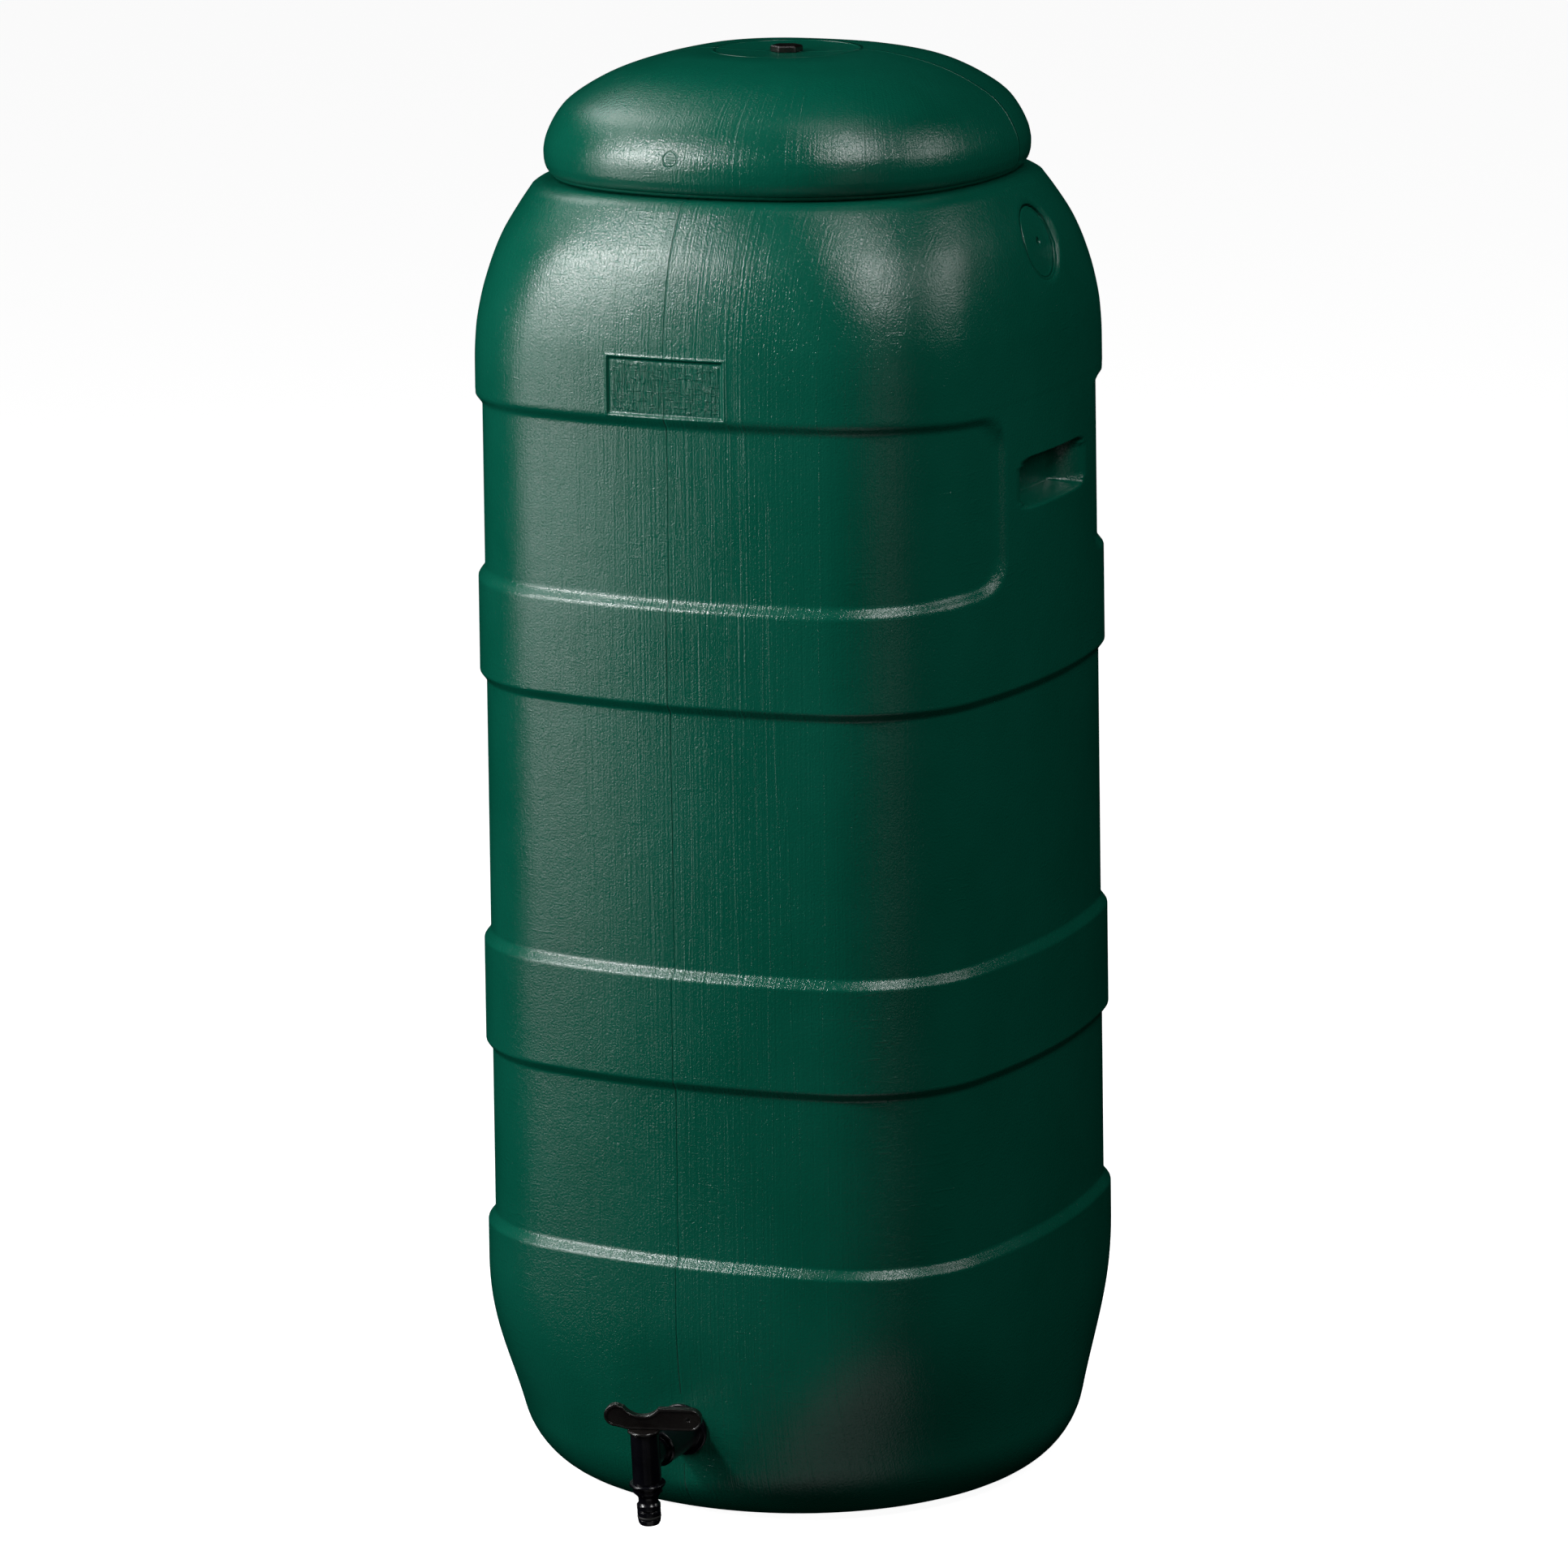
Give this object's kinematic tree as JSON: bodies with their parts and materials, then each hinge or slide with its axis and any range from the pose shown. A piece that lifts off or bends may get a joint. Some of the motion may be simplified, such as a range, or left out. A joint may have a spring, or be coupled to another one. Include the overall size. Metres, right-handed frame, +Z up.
{
  "type": "rain barrel",
  "caption": "Slimline rain barrel with rounded-square body, raised bands, side lifting pockets, domed lift-off lid with a turn-bar lock, and a quarter-turn tap with a click nozzle.",
  "frame": {"origin": "centre of the flat foot on the floor", "axes": "+Z up along the barrel's axis, -Y to the front where the tap and the label panel are, +X and -X to the lifting pockets"},
  "size_m": [0.391, 0.4522, 0.9779],
  "materials": {
    "green_hdpe": "semi-gloss pebbled blow-moulded polyethylene, dark green",
    "black_bolt": "gloss black",
    "zinc_steel": "zinc plated",
    "black_tap": "semi-gloss black moulded plastic",
    "rubber_seal": "matt black rubber"
  },
  "bodies": {
    "barrel": {"barrel_body": "green_hdpe", "tap_body": "black_tap", "tap_nozzle": "black_tap", "tap_nozzle_seal": "rubber_seal", "tap_outer_washer": "rubber_seal", "tap_inner_washer": "rubber_seal", "tap_back_nut": "black_tap"},
    "lid": {"lid": "green_hdpe"},
    "lid_lock": {"lid_lock_bolt": "black_bolt", "lid_lock_bar": "zinc_steel", "lid_lock_nut": "zinc_steel"},
    "tap_handle": {"tap_lever": "black_tap", "tap_rotor_seal_upper": "rubber_seal", "tap_rotor_seal_lower": "rubber_seal"}
  },
  "joints": [
    {"name": "lid_lift", "type": "slide", "parent": "barrel", "child": "lid", "axis": [0, 0, 1], "range_m": [0, 0.09]},
    {"name": "lid_lock_turn", "type": "hinge", "parent": "lid", "child": "lid_lock", "pos_m": [0, 0, 0.9734], "axis": [0, 0, 1], "range_deg": [0, 45]},
    {"name": "tap_lever_turn", "type": "hinge", "parent": "barrel", "child": "tap_handle", "pos_m": [0, -0.2452, 0.07993], "axis": [0, -0.0802, 0.9968], "range_deg": [0, 90]}
  ]
}
